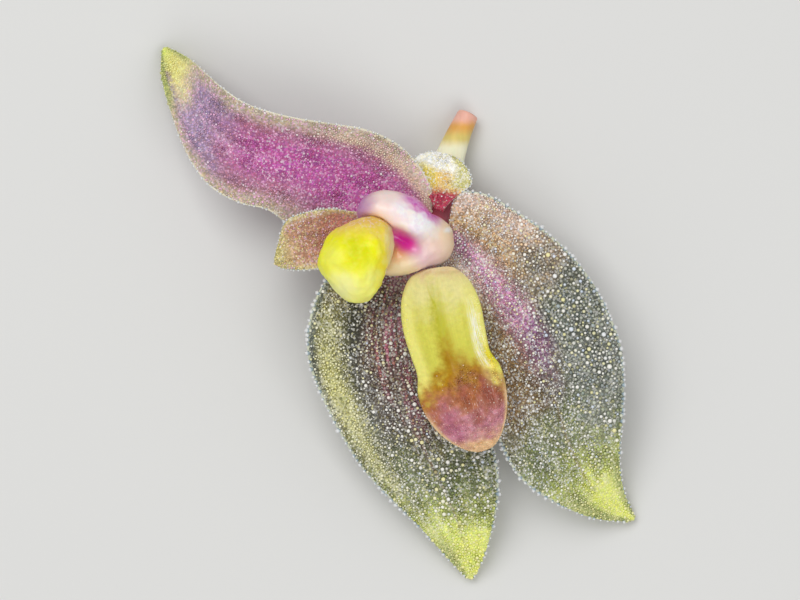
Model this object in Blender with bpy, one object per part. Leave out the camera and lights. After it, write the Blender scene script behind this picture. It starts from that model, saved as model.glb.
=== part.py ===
"""One flower of a miniature orchid, as picked, lying on its back with its face up.

Run it with: blender --background --python part.py
The tables below are in millimetres and the model is built in metres, +Z up. The flower rests on z = 0 on the
tips of its three sepals and on the cut end of its stalk, and the origin is below the middle of its box.

An orchid flower has three sepals outside, two petals inside them, a third petal made into a lip, and a
column that joins the stigma to the anther. The dorsal sepal points to -X and +Y, the lateral sepals and the
lip to -Y, and the column leans towards -X with the anther cap on its end. The ovary is below the sepals.
"""

import math

import bmesh
import bpy
from mathutils import Matrix, Vector

MM = 0.001

# The blades are grids: so many cells from base to tip, and so many from margin to margin.
SEPAL_CELLS = (24, 8)
PETAL_CELLS = (14, 8)
LIP_CELLS = (20, 10)

SEPAL_THICKNESS = 0.13
PETAL_THICKNESS = 0.10
LIP_THICKNESS = 0.32
MARGIN_SHARE = 0.5          # a blade's thickness at its margin, as a share of that at its midrib
GAP = 0.03                  # between the anther cap and its seat on the column

# Each rib crosses its blade: left margin x, y and height, midrib height, right margin x, y and height.
# Left and right are as seen from the base, looking to the tip. Heights are of the upper face.
DORSAL_SEPAL_RIBS = [
    (0.28, 1.36, 1.00, 1.00, 0.52, 1.57, 1.02),
    (-0.22, 0.98, 1.06, 1.04, 0.54, 1.86, 1.20),
    (-0.72, 0.92, 1.10, 1.08, 0.36, 2.26, 1.34),
    (-1.20, 1.02, 1.16, 1.10, 0.02, 2.62, 1.42),
    (-1.63, 1.30, 1.26, 1.12, -0.48, 2.86, 1.46),
    (-2.02, 1.60, 1.36, 1.13, -1.12, 2.97, 1.48),
    (-2.48, 1.72, 1.42, 1.13, -1.75, 3.08, 1.48),
    (-2.90, 1.95, 1.40, 1.08, -2.34, 3.26, 1.42),
    (-3.18, 2.28, 1.28, 0.98, -2.74, 3.52, 1.28),
    (-3.40, 2.70, 1.08, 0.80, -3.02, 3.77, 1.06),
    (-3.58, 3.20, 0.78, 0.56, -3.24, 3.97, 0.76),
    (-3.72, 3.72, 0.42, 0.32, -3.44, 4.09, 0.42),
    (-3.725, 4.16, 0.120, 0.104, -3.665, 4.20, 0.120),
]
LATERAL_SEPAL_LEFT_RIBS = [
    (0.52, 0.95, 1.02, 1.00, 0.25, 1.18, 1.02),
    (0.62, 0.50, 1.10, 1.06, -0.40, 1.02, 1.12),
    (0.74, 0.06, 1.18, 1.12, -0.92, 0.74, 1.28),
    (0.88, -0.38, 1.24, 1.16, -1.24, 0.33, 1.38),
    (1.03, -0.82, 1.28, 1.18, -1.40, -0.19, 1.42),
    (1.18, -1.24, 1.26, 1.17, -1.40, -0.72, 1.40),
    (1.34, -1.66, 1.20, 1.12, -1.24, -1.20, 1.34),
    (1.48, -2.08, 1.10, 1.03, -0.95, -1.80, 1.20),
    (1.57, -2.50, 0.97, 0.92, -0.55, -2.44, 1.04),
    (1.56, -2.94, 0.80, 0.77, -0.05, -2.98, 0.84),
    (1.48, -3.38, 0.60, 0.58, 0.42, -3.45, 0.62),
    (1.34, -3.85, 0.36, 0.34, 0.81, -3.89, 0.36),
    (1.165, -4.205, 0.120, 0.104, 1.105, -4.195, 0.120),
]
LATERAL_SEPAL_RIGHT_RIBS = [
    (0.83, 1.44, 1.02, 1.00, 0.64, 1.00, 1.02),
    (0.92, 1.86, 1.16, 1.06, 0.72, 0.60, 1.14),
    (1.36, 1.86, 1.26, 1.13, 0.84, 0.16, 1.24),
    (1.83, 1.60, 1.32, 1.19, 0.96, -0.22, 1.32),
    (2.30, 1.28, 1.36, 1.23, 1.09, -0.62, 1.38),
    (2.72, 0.89, 1.38, 1.25, 1.22, -1.00, 1.42),
    (3.06, 0.44, 1.36, 1.24, 1.36, -1.38, 1.42),
    (3.33, -0.08, 1.30, 1.19, 1.50, -1.76, 1.38),
    (3.50, -0.61, 1.20, 1.10, 1.66, -2.18, 1.27),
    (3.53, -1.20, 1.06, 0.98, 1.91, -2.58, 1.10),
    (3.50, -1.83, 0.86, 0.80, 2.30, -2.88, 0.88),
    (3.48, -2.38, 0.61, 0.57, 2.77, -3.12, 0.62),
    (3.56, -2.83, 0.34, 0.32, 3.20, -3.25, 0.34),
    (3.745, -3.245, 0.130, 0.115, 3.705, -3.285, 0.130),
]
PETAL_LEFT_RIBS = [
    (0.22, 1.18, 1.27, 1.25, 0.20, 1.36, 1.27),
    (-0.20, 0.98, 1.40, 1.35, -0.24, 1.52, 1.42),
    (-0.66, 0.82, 1.50, 1.44, -0.74, 1.59, 1.58),
    (-1.02, 0.73, 1.56, 1.50, -1.06, 1.63, 1.66),
    (-1.34, 0.68, 1.60, 1.54, -1.40, 1.58, 1.64),
    (-1.62, 0.67, 1.62, 1.58, -1.74, 1.44, 1.60),
    (-1.82, 0.70, 1.64, 1.61, -1.86, 1.12, 1.63),
    (-1.93, 0.76, 1.65, 1.64, -1.93, 0.84, 1.65),
]
PETAL_RIGHT_RIBS = [
    (0.58, 1.62, 1.26, 1.25, 0.70, 1.58, 1.26),
    (0.50, 1.78, 1.20, 1.18, 0.82, 1.74, 1.22),
    (0.36, 2.02, 1.14, 1.10, 1.00, 1.88, 1.20),
    (0.24, 2.24, 1.10, 1.05, 1.15, 2.02, 1.16),
    (0.26, 2.42, 1.07, 1.02, 1.12, 2.20, 1.12),
    (0.44, 2.51, 1.04, 1.00, 1.00, 2.36, 1.06),
    (0.62, 2.53, 1.01, 0.99, 0.84, 2.47, 1.02),
]
LIP_RIBS = [
    (0.86, 0.68, 1.74, 1.76, 0.48, 0.62, 1.74),
    (1.02, 0.60, 1.86, 1.84, 0.20, 0.50, 1.86),
    (1.17, 0.42, 1.98, 1.90, 0.07, 0.23, 1.98),
    (1.28, 0.16, 2.05, 1.94, 0.05, -0.06, 2.05),
    (1.34, -0.14, 2.08, 1.97, 0.10, -0.36, 2.08),
    (1.39, -0.41, 2.12, 1.98, 0.20, -0.68, 2.10),
    (1.44, -0.60, 2.16, 1.99, 0.30, -0.98, 2.12),
    (1.58, -0.80, 2.10, 2.02, 0.31, -1.28, 2.06),
    (1.67, -1.08, 2.00, 2.03, 0.42, -1.58, 1.98),
    (1.70, -1.40, 1.90, 1.99, 0.61, -1.84, 1.88),
    (1.67, -1.68, 1.80, 1.90, 0.84, -2.03, 1.78),
    (1.59, -1.93, 1.70, 1.77, 1.08, -2.14, 1.68),
    (1.47, -2.10, 1.62, 1.64, 1.28, -2.17, 1.61),
]

# The column stands on the stalk's top. Its body rises to the anther, its foot bulges towards the lip, and
# the lobe below the stigma joins the two. The stigma is sunk between the three.
BODY_CENTRE, BODY_SEMI_AXES = (-0.01, 1.42, 1.90), (0.67, 0.46, 0.42)
BODY_TURN, BODY_LEAN = 156, 14             # degrees: heading in plan, and rise above the horizon
FOOT_CENTRE, FOOT_SEMI_AXES = (0.49, 1.13, 1.59), (0.39, 0.41, 0.42)
LOBE_CENTRE, LOBE_SEMI_AXES, LOBE_TURN = (0.08, 0.88, 1.80), (0.52, 0.29, 0.30), 14
STIGMA_CENTRE, STIGMA_SEMI_AXES, STIGMA_TURN = (0.04, 1.15, 2.16), (0.28, 0.12, 0.22), -25

# The anther cap is a dome over the end of the column. Its outline is a radius for each heading in degrees.
CAP_CENTRE = (-0.64, 0.81, 2.12)
CAP_HEIGHT, CAP_DEPTH = 0.66, 0.26         # above and below its widest outline
CAP_OUTLINE = [
    (7, 0.53), (32, 0.68), (56, 0.775), (80, 0.68), (105, 0.57), (133, 0.585), (156, 0.572),
    (180, 0.61), (208, 0.545), (240, 0.57), (267, 0.675), (291, 0.63), (318, 0.51), (344, 0.483),
]
CAP_SIDES, CAP_RINGS = 28, 16

# The stalk: centre and radius from the receptacle below the column, through the ovary, to the cut end.
STALK_STATIONS = [
    (0.53, 1.26, 1.16, 0.19),
    (0.53, 1.28, 1.02, 0.21),
    (0.54, 1.34, 0.84, 0.23),
    (0.57, 1.50, 0.63, 0.26),
    (0.62, 1.74, 0.50, 0.28),
    (0.68, 2.00, 0.43, 0.28),
    (0.76, 2.27, 0.38, 0.26),
    (0.85, 2.54, 0.32, 0.225),
    (0.96, 2.82, 0.245, 0.19),
    (1.10, 3.12, 0.160, 0.165),
]
STALK_SIDES, STALK_RINGS = 16, 24

COLOURS = {
    "dorsal_sepal": ((0.50, 0.17, 0.33), 0.35),
    "lateral_sepal": ((0.26, 0.26, 0.18), 0.30),
    "petal": ((0.38, 0.20, 0.13), 0.35),
    "lip": ((0.62, 0.58, 0.14), 0.30),
    "column": ((0.86, 0.72, 0.62), 0.32),
    "anther": ((0.78, 0.72, 0.03), 0.35),
    "stalk": ((0.66, 0.62, 0.28), 0.40),
}


def clear_scene():
    for obj in list(bpy.data.objects):
        bpy.data.objects.remove(obj)


def material(name):
    colour, roughness = COLOURS[name]
    made = bpy.data.materials.get(name) or bpy.data.materials.new(name)
    made.use_nodes = True
    shader = made.node_tree.nodes["Principled BSDF"]
    shader.inputs["Base Color"].default_value = (*colour, 1)
    shader.inputs["Roughness"].default_value = roughness
    shader.inputs["Metallic"].default_value = 0
    return made


def node(name, bm, finish):
    """Makes the object that holds the bmesh, shaded smooth, with its material."""
    mesh = bpy.data.meshes.new(name)
    bm.to_mesh(mesh)
    bm.free()
    mesh.shade_smooth()
    obj = bpy.data.objects.new(name, mesh)
    bpy.context.scene.collection.objects.link(obj)
    mesh.materials.append(material(finish))
    return obj


def helper(name, bm):
    """A shape that only cuts or joins: it is left out of the part."""
    obj = node(name, bm, "column")
    obj.hide_render = True
    obj.display_type = "WIRE"
    return obj


def boolean(obj, other, operation):
    modifier = obj.modifiers.new(other.name, "BOOLEAN")
    modifier.operation = operation
    modifier.solver = "EXACT"
    modifier.object = other


def through(values, share):
    """The point at share, from 0 to 1, of a smooth curve through the values, each a tuple of numbers."""
    spans = len(values) - 1
    place = min(max(share, 0.0), 1.0) * spans
    i = min(int(place), spans - 1)
    t = place - i
    b, c = values[i], values[i + 1]
    a = values[i - 1] if i > 0 else tuple(2 * p - q for p, q in zip(b, c))
    d = values[i + 2] if i + 2 <= spans else tuple(2 * q - p for p, q in zip(b, c))
    return [
        0.5 * (2 * q + (r - p) * t + (2 * p - 5 * q + 4 * r - s) * t**2 + (3 * q - p - 3 * r + s) * t**3)
        for p, q, r, s in zip(a, b, c, d)
    ]


def blade(name, ribs, thickness, finish, cells, profile=lambda v: v * v):
    """A sepal, petal or lip: a grid laid over its ribs and thickened downwards, thinner at the margins.

    profile says how far the height has gone from the midrib's to the margin's, for v from 0 to 1.
    """
    bm = bmesh.new()
    bmesh.ops.create_grid(bm, x_segments=cells[0], y_segments=cells[1], size=0.5)
    flesh = bm.verts.layers.deform.verify()
    for vert in bm.verts:
        along, across = vert.co.x + 0.5, vert.co.y + 0.5
        lx, ly, lz, mid, rx, ry, rz = through(ribs, along)
        side = 2 * across - 1
        margin = rz if side > 0 else lz
        height = mid + (margin - mid) * profile(abs(side))
        vert.co = Vector((lx + (rx - lx) * across, ly + (ry - ly) * across, height)) * MM
        vert[flesh][0] = 1 - side**4
    bm.normal_update()
    if sum(face.normal.z for face in bm.faces) < 0:
        bmesh.ops.reverse_faces(bm, faces=bm.faces)
    obj = node(name, bm, finish)
    obj.vertex_groups.new(name="flesh")
    solid = obj.modifiers.new("flesh", "SOLIDIFY")
    solid.thickness = thickness * MM
    solid.offset = -1
    solid.vertex_group = "flesh"
    solid.thickness_vertex_group = MARGIN_SHARE
    return obj


def lip_profile(v):
    """A shallow channel along the middle, then a rise to a rounded margin."""
    return v**3 * (1.6 - 0.6 * v)


def ellipsoid(centre, semi_axes, turn=0.0, lean=0.0, sides=24, rings=14):
    """An egg with its first axis at heading turn and rising by lean, both in degrees."""
    bm = bmesh.new()
    bmesh.ops.create_uvsphere(bm, u_segments=sides, v_segments=rings, radius=1)
    place = (
        Matrix.Translation(Vector(centre) * MM)
        @ Matrix.Rotation(math.radians(turn), 4, "Z")
        @ Matrix.Rotation(math.radians(-lean), 4, "Y")
        @ Matrix.Diagonal((*(Vector(semi_axes) * MM), 1))
    )
    bmesh.ops.transform(bm, matrix=place, verts=bm.verts)
    return bm


def column():
    """The column: body, foot and lobe in one, with the stigma sunk in it and a seat cut for the anther cap."""
    obj = node("column", ellipsoid(BODY_CENTRE, BODY_SEMI_AXES, BODY_TURN, BODY_LEAN), "column")
    boolean(obj, helper("column_foot", ellipsoid(FOOT_CENTRE, FOOT_SEMI_AXES)), "UNION")
    boolean(obj, helper("stigma_lobe", ellipsoid(LOBE_CENTRE, LOBE_SEMI_AXES, LOBE_TURN)), "UNION")
    boolean(obj, helper("stigma", ellipsoid(STIGMA_CENTRE, STIGMA_SEMI_AXES, STIGMA_TURN)), "DIFFERENCE")
    boolean(obj, helper("cap_seat", cap_dome(GAP)), "DIFFERENCE")


def cap_radius(heading):
    """The radius of the cap's outline at a heading in radians, smooth through the outline's points."""
    degrees = math.degrees(heading) % 360
    points = CAP_OUTLINE
    gaps = [((points[(i + 1) % len(points)][0] - points[i][0]) % 360) for i in range(len(points))]
    for i, (start, _) in enumerate(points):
        ahead = (degrees - start) % 360
        if ahead <= gaps[i]:
            t = ahead / gaps[i]
            window = [(points[(i + k) % len(points)][1],) for k in (-1, 0, 1, 2)]
            return through(window, (1 + t) / 3)[0]
    return points[0][1]


def cap_dome(extra=0.0):
    """A closed dome over the cap's outline, larger than the cap by extra all round."""
    bm = bmesh.new()
    bmesh.ops.create_uvsphere(bm, u_segments=CAP_SIDES, v_segments=CAP_RINGS, radius=1)
    for vert in bm.verts:
        reach = math.hypot(vert.co.x, vert.co.y)
        heading = math.atan2(vert.co.y, vert.co.x)
        radius = (cap_radius(heading) + extra) * reach
        rise = vert.co.z * ((CAP_HEIGHT if vert.co.z > 0 else CAP_DEPTH) + extra)
        across = (radius * math.cos(heading), radius * math.sin(heading), rise)
        vert.co = (Vector(CAP_CENTRE) + Vector(across)) * MM
    return bm


def stalk():
    """The receptacle, ovary and pedicel: rings of a tapering tube, bridged, with a flat end on each."""
    bm = bmesh.new()
    rings = []
    for i in range(STALK_RINGS + 1):
        share = i / STALK_RINGS
        x, y, z, radius = through(STALK_STATIONS, share)
        before = Vector(through(STALK_STATIONS, share - 0.01)[:3])
        after = Vector(through(STALK_STATIONS, share + 0.01)[:3])
        turn = (before - after).to_track_quat("Z", "X").to_matrix().to_4x4()
        place = Matrix.Translation(Vector((x, y, z)) * MM) @ turn
        made = bmesh.ops.create_circle(bm, segments=STALK_SIDES, radius=radius * MM, matrix=place)
        rings.append(made["verts"])
    for first, second in zip(rings, rings[1:]):
        for i, vert in enumerate(first):
            following = (i + 1) % STALK_SIDES
            bm.faces.new((vert, first[following], second[following], second[i]))
    bmesh.ops.holes_fill(bm, edges=[edge for edge in bm.edges if edge.is_boundary])
    bmesh.ops.recalc_face_normals(bm, faces=bm.faces)
    node("ovary_and_pedicel", bm, "stalk")


def main():
    clear_scene()
    blade("dorsal_sepal", DORSAL_SEPAL_RIBS, SEPAL_THICKNESS, "dorsal_sepal", SEPAL_CELLS)
    blade("lateral_sepal_left", LATERAL_SEPAL_LEFT_RIBS, SEPAL_THICKNESS, "lateral_sepal", SEPAL_CELLS)
    blade("lateral_sepal_right", LATERAL_SEPAL_RIGHT_RIBS, SEPAL_THICKNESS, "lateral_sepal", SEPAL_CELLS)
    blade("petal_left", PETAL_LEFT_RIBS, PETAL_THICKNESS, "petal", PETAL_CELLS)
    blade("petal_right", PETAL_RIGHT_RIBS, PETAL_THICKNESS, "petal", PETAL_CELLS)
    blade("lip", LIP_RIBS, LIP_THICKNESS, "lip", LIP_CELLS, lip_profile)
    column()
    node("anther_cap", cap_dome(), "anther")
    stalk()


main()
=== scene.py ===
"""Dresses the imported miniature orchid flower: living skin on every part, on a plain pale floor.

The flower lies on its back with its face up. Sizes below are in millimetres unless a name says otherwise, and
the model is in metres, +Z up. Places on a sepal, petal or lip are given along it, from 0 at the base to 1 at
the tip, and across it, from -1 at the left margin to 1 at the right, as seen from the base.
"""

import math
from contextlib import contextmanager

import bpy
import numpy as np
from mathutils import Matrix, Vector, noise
from mathutils.bvhtree import BVHTree


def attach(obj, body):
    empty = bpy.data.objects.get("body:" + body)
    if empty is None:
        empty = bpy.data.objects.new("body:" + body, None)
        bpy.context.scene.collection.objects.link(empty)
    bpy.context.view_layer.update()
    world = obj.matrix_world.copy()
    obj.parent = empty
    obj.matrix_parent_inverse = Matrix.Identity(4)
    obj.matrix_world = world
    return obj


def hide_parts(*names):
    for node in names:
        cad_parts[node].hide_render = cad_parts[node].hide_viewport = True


bl_info = {
    "name": "Miniature Orchid Flower",
    "version": (1, 0, 0),
    "blender": (4, 5, 0),
    "location": "3D Viewport > Sidebar > Orchid",
    "description": "Dresses a packed orchid flower with its skin, papillae and studio stage",
    "category": "Object",
}

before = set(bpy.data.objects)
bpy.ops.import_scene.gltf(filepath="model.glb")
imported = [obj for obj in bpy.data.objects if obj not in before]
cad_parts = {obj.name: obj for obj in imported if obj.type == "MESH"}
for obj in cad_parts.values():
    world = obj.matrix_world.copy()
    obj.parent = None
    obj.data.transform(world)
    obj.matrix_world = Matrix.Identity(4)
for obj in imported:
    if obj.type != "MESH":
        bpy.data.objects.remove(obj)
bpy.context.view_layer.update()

MM = 0.001
BODY = "root"

# Each rib gives its two ends in plan: left margin x and y, then right margin x and y.
DORSAL_SEPAL_RIBS = [
    (0.28, 1.36, 0.52, 1.57),
    (-0.22, 0.98, 0.54, 1.86),
    (-0.72, 0.92, 0.36, 2.26),
    (-1.20, 1.02, 0.02, 2.62),
    (-1.63, 1.30, -0.48, 2.86),
    (-2.02, 1.60, -1.12, 2.97),
    (-2.48, 1.72, -1.75, 3.08),
    (-2.90, 1.95, -2.34, 3.26),
    (-3.18, 2.28, -2.74, 3.52),
    (-3.40, 2.70, -3.02, 3.77),
    (-3.58, 3.20, -3.24, 3.97),
    (-3.72, 3.72, -3.44, 4.09),
    (-3.725, 4.16, -3.665, 4.20),
]
LATERAL_SEPAL_LEFT_RIBS = [
    (0.52, 0.95, 0.25, 1.18),
    (0.67, 0.55, -0.40, 1.02),
    (0.74, 0.06, -0.92, 0.74),
    (0.88, -0.38, -1.24, 0.33),
    (1.03, -0.82, -1.40, -0.19),
    (1.18, -1.24, -1.40, -0.72),
    (1.34, -1.66, -1.24, -1.20),
    (1.48, -2.08, -0.95, -1.80),
    (1.57, -2.50, -0.55, -2.44),
    (1.56, -2.94, -0.05, -2.98),
    (1.48, -3.38, 0.42, -3.45),
    (1.34, -3.85, 0.81, -3.89),
    (1.165, -4.205, 1.105, -4.195),
]
LATERAL_SEPAL_RIGHT_RIBS = [
    (0.83, 1.44, 0.64, 1.00),
    (0.92, 1.86, 0.69, 0.60),
    (1.36, 1.86, 0.84, 0.16),
    (1.83, 1.60, 0.96, -0.22),
    (2.30, 1.28, 1.09, -0.62),
    (2.72, 0.89, 1.22, -1.00),
    (3.06, 0.44, 1.36, -1.38),
    (3.33, -0.08, 1.50, -1.76),
    (3.50, -0.61, 1.66, -2.18),
    (3.53, -1.20, 1.91, -2.58),
    (3.50, -1.83, 2.30, -2.88),
    (3.48, -2.38, 2.77, -3.12),
    (3.56, -2.83, 3.20, -3.25),
    (3.745, -3.245, 3.705, -3.285),
]
PETAL_LEFT_RIBS = [
    (0.22, 1.18, 0.20, 1.36),
    (-0.20, 0.98, -0.24, 1.52),
    (-0.66, 0.82, -0.74, 1.59),
    (-1.02, 0.73, -1.06, 1.63),
    (-1.34, 0.68, -1.40, 1.58),
    (-1.62, 0.67, -1.74, 1.44),
    (-1.82, 0.70, -1.86, 1.12),
    (-1.93, 0.76, -1.93, 0.84),
]
PETAL_RIGHT_RIBS = [
    (0.58, 1.62, 0.70, 1.58),
    (0.50, 1.78, 0.82, 1.74),
    (0.36, 2.02, 1.00, 1.88),
    (0.24, 2.24, 1.15, 2.02),
    (0.26, 2.42, 1.12, 2.20),
    (0.44, 2.51, 1.00, 2.36),
    (0.62, 2.53, 0.84, 2.47),
]
LIP_RIBS = [
    (0.82, 0.74, 0.43, 0.69),
    (1.02, 0.61, 0.18, 0.54),
    (1.17, 0.42, 0.06, 0.24),
    (1.28, 0.16, 0.05, -0.06),
    (1.34, -0.14, 0.10, -0.36),
    (1.39, -0.41, 0.20, -0.68),
    (1.44, -0.60, 0.30, -0.98),
    (1.58, -0.80, 0.31, -1.28),
    (1.67, -1.08, 0.42, -1.58),
    (1.70, -1.40, 0.61, -1.84),
    (1.67, -1.68, 0.84, -2.03),
    (1.59, -1.93, 1.08, -2.14),
    (1.47, -2.10, 1.28, -2.17),
]

# The stalk's centre and radius, from the receptacle below the column to the cut end.
STALK_STATIONS = [
    (0.53, 1.26, 1.16, 0.19),
    (0.53, 1.28, 1.02, 0.21),
    (0.54, 1.34, 0.84, 0.23),
    (0.57, 1.50, 0.63, 0.26),
    (0.62, 1.74, 0.50, 0.28),
    (0.68, 2.00, 0.43, 0.28),
    (0.76, 2.27, 0.38, 0.26),
    (0.85, 2.54, 0.32, 0.225),
    (0.96, 2.82, 0.245, 0.19),
    (1.10, 3.12, 0.160, 0.165),
]

# How finely the frame's blades are read for their heights, and how far inside their outline each place is
# looked for, across and along, until it is found.
READ_ALONG, READ_ACROSS = 25, 9
INSETS = ((0.96, 0.996), (0.9, 0.99), (0.8, 0.98), (0.6, 0.96), (0.4, 0.94), (0.4, 0.88), (0.4, 0.8))

# A blade's directions are read over this step along and across it, and no nearer its margins than this.
STEP, READ_EDGE = 0.004, 0.995

# How many places are tried for the papillae of a face, and how far across. Snapping to a row can move a place
# further out, and past the last value it has no face to stand on and is dropped.
TRIES, FACE_REACH, FACE_EDGE = 60000, 0.97, 0.99

# Rows of papillae from the midrib to a margin, where they follow the veins.
ROWS = 16

# The stigma's hollow: its middle in plan, half length and half width, depth, and the way that it slants.
STIGMA = (0.05, 1.14)
STIGMA_REACH = (0.3, 0.14)
STIGMA_DEPTH = 0.12
STIGMA_SLANT = math.radians(-32)

# The column is made anew from cubes of this size, smoothed this often, and its lumps are this large and high.
COLUMN_CUBE, COLUMN_ROUNDS = 0.026, 160
COLUMN_LUMP, COLUMN_RELIEF = 0.22, 0.014

# The anther cap's large and small lumps, each their size, seed and height, and how far the whole cap swells.
CAP_LUMPS = ((0.28, 21, 0.028), (0.1, 8, 0.01))
CAP_SWELL = 0.02

# Every lamp is a square of this width. The white world lights the flower at the first level, and is seen and
# mirrored at the second.
LAMP_WIDTH = 60
WORLD_LEVELS = (0.4, 0.62)

# The camera looks straight down from above this place, and its picture is this wide at that height.
CAMERA_AIM = (0.031, 0.203, 1.2)
VIEW_WIDTH = 12.5


def hue(text):
    """A colour written as six hex digits, as the linear values that shaders use."""
    parts = [int(text[i : i + 2], 16) / 255 for i in (0, 2, 4)]
    return tuple(((p + 0.055) / 1.055) ** 2.4 if p > 0.04045 else p / 12.92 for p in parts)


# ---------------------------------------------------------------- smooth curves and surfaces


def padded(values):
    """The values with one more at each end, in line with the last two."""
    return np.concatenate([2 * values[:1] - values[1:2], values, 2 * values[-1:] - values[-2:-1]])


def smooth_weights(share, count):
    """Where each share from 0 to 1 lies among even padded values: the first of four, and their weights."""
    place = np.clip(share, 0, 1) * (count - 1)
    first = np.minimum(place.astype(int), count - 2)
    t = place - first
    weights = 0.5 * np.stack([
        -t + 2 * t**2 - t**3,
        2 - 5 * t**2 + 3 * t**3,
        t + 4 * t**2 - 3 * t**3,
        -(t**2) + t**3,
    ])
    return first, weights


def through(values, share):
    """Points at each share, from 0 to 1, of a smooth curve through the rows of values."""
    values = np.asarray(values, float)
    first, weights = smooth_weights(np.asarray(share, float), len(values))
    held = padded(values)
    return sum(held[first + i] * weights[i][:, None] for i in range(4))


def rounded_end(share, reach):
    """1 along most of a form, falling to 0 as a quarter circle over the last reach at each end."""
    near = np.clip(np.minimum(share, 1 - share) / reach, 0, 1)
    return np.sqrt(np.clip(1 - (1 - near) ** 2, 0, 1))


def unit(vectors):
    """The vectors at length 1."""
    size = np.linalg.norm(vectors, axis=1, keepdims=True)
    return vectors / np.maximum(size, 1e-12)


class Blade:
    """The shape of one sepal, petal or lip: its plan from its ribs, and its heights read from the frame."""

    def __init__(self, node, ribs):
        self.node = node
        self.ribs = np.array(ribs) * MM
        self.upper, self.lower = self.read_heights()

    def plan(self, along, across):
        """Places seen from above."""
        ends = through(self.ribs, along)
        share = ((across + 1) / 2)[:, None]
        return ends[:, :2] * (1 - share) + ends[:, 2:] * share

    def read_heights(self):
        """Heights of the frame's upper and lower faces at a lattice of places along and across."""
        tree = BVHTree.FromObject(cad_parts[self.node], bpy.context.evaluated_depsgraph_get())
        above, below = 10 * MM, -10 * MM
        upper = np.zeros((READ_ALONG, READ_ACROSS))
        lower = np.zeros((READ_ALONG, READ_ACROSS))
        for i, along in enumerate(np.linspace(0, 1, READ_ALONG)):
            for j, across in enumerate(np.linspace(-1, 1, READ_ACROSS)):
                for inset, pull in INSETS:
                    pulled = 0.5 + (along - 0.5) * pull
                    spot = self.plan(np.array([pulled]), np.array([across * inset]))[0]
                    top = tree.ray_cast(Vector((*spot, above)), Vector((0, 0, -1)))[0]
                    base = tree.ray_cast(Vector((*spot, below)), Vector((0, 0, 1)))[0]
                    if top is not None and base is not None:
                        break
                upper[i, j], lower[i, j] = top.z, base.z
        return upper, lower

    def heights(self, along, across):
        """Heights of the upper and lower faces, smooth between the places that were read."""
        u, wu = smooth_weights(along, READ_ALONG)
        v, wv = smooth_weights((across + 1) / 2, READ_ACROSS)
        found = []
        for lattice in (self.upper, self.lower):
            held = padded(padded(lattice).T).T
            found.append(sum(held[u + i, v + j] * wu[i] * wv[j] for i in range(4) for j in range(4)))
        return found

    def point(self, along, across, side):
        """Points on the upper face for side 1, on the lower for side -1, and midway between for side 0."""
        upper, lower = self.heights(along, across)
        middle, half = (upper + lower) / 2, (upper - lower) / 2
        bulge = np.sqrt(np.clip(1 - np.abs(across) ** 6, 0, 1)) * rounded_end(along, 0.03)
        return np.column_stack([self.plan(along, across), middle + side * (half * bulge)])

    def heading(self, along, across, side, step):
        """The unit vector towards the tip at each place."""
        ahead = self.point(np.clip(along + step, 0, 1), across, side)
        behind = self.point(np.clip(along - step, 0, 1), across, side)
        return unit(ahead - behind)

    def frames(self, along, across, side):
        """At each place the point, and the unit vectors towards the tip, across, and outwards."""
        right = self.point(along, np.clip(across + STEP, -READ_EDGE, READ_EDGE), side)
        left = self.point(along, np.clip(across - STEP, -READ_EDGE, READ_EDGE), side)
        forward = self.heading(along, across, side, STEP)
        normal = unit(np.cross(forward, right - left))
        normal *= np.sign(normal[:, 2:3] * side + 1e-9)
        return self.point(along, across, side), forward, unit(np.cross(normal, forward)), normal


# ---------------------------------------------------------------- meshes


def deselect():
    bpy.ops.object.select_all(action="DESELECT")


@contextmanager
def editing(obj):
    """Edit mode for one object alone."""
    deselect()
    obj.select_set(True)
    bpy.context.view_layer.objects.active = obj
    bpy.ops.object.mode_set(mode="EDIT")
    yield
    bpy.ops.object.mode_set(mode="OBJECT")


def finish_mesh(obj):
    """Turns the faces outwards and shades them smooth."""
    with editing(obj):
        bpy.ops.mesh.select_all(action="SELECT")
        bpy.ops.mesh.normals_make_consistent(inside=False)
    bpy.ops.object.shade_smooth()
    deselect()


def get_points(mesh):
    co = np.zeros(len(mesh.vertices) * 3)
    mesh.vertices.foreach_get("co", co)
    return co.reshape(-1, 3)


def set_points(mesh, points):
    mesh.vertices.foreach_set("co", np.asarray(points, np.float32).ravel())
    mesh.update()


def set_vectors(mesh, name, values):
    """Keeps a vector for each point of a mesh, for its material to read."""
    attribute = mesh.attributes.new(name, "FLOAT_VECTOR", "POINT")
    attribute.data.foreach_set("vector", np.asarray(values, np.float32).ravel())


def add_sphere(name, segments, rings):
    """The start of every grown form: a sphere of radius 1, which is then drawn out and pressed to shape."""
    deselect()
    bpy.ops.mesh.primitive_uv_sphere_add(segments=segments, ring_count=rings, radius=1)
    obj = bpy.context.object
    obj.name = obj.data.name = name
    return obj


def sphere_turns(obj):
    """At each point of a new sphere, the angle down from its top and the one round its axis."""
    x, y, z = get_points(obj.data).T
    return np.arccos(np.clip(z, -1, 1)), np.arctan2(y, x)


def fractal(points, size, seed):
    """Smooth noise from about -1 to 1 at each point, with lumps about size metres apart."""
    shift = Vector((seed * 7.31, seed * 3.17, seed * 5.71))
    return np.array([noise.fractal(Vector(p) / size + shift, 1.0, 2.0, 3) for p in points])


def skin_piece(name, material, node=None):
    """Rides a finished piece on the flower, with its finish and the frame's solid that it stands for."""
    obj = bpy.data.objects[name]
    obj.data.materials.clear()
    obj.data.materials.append(material)
    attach(obj, BODY)
    if node:
        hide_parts(node)


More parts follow.
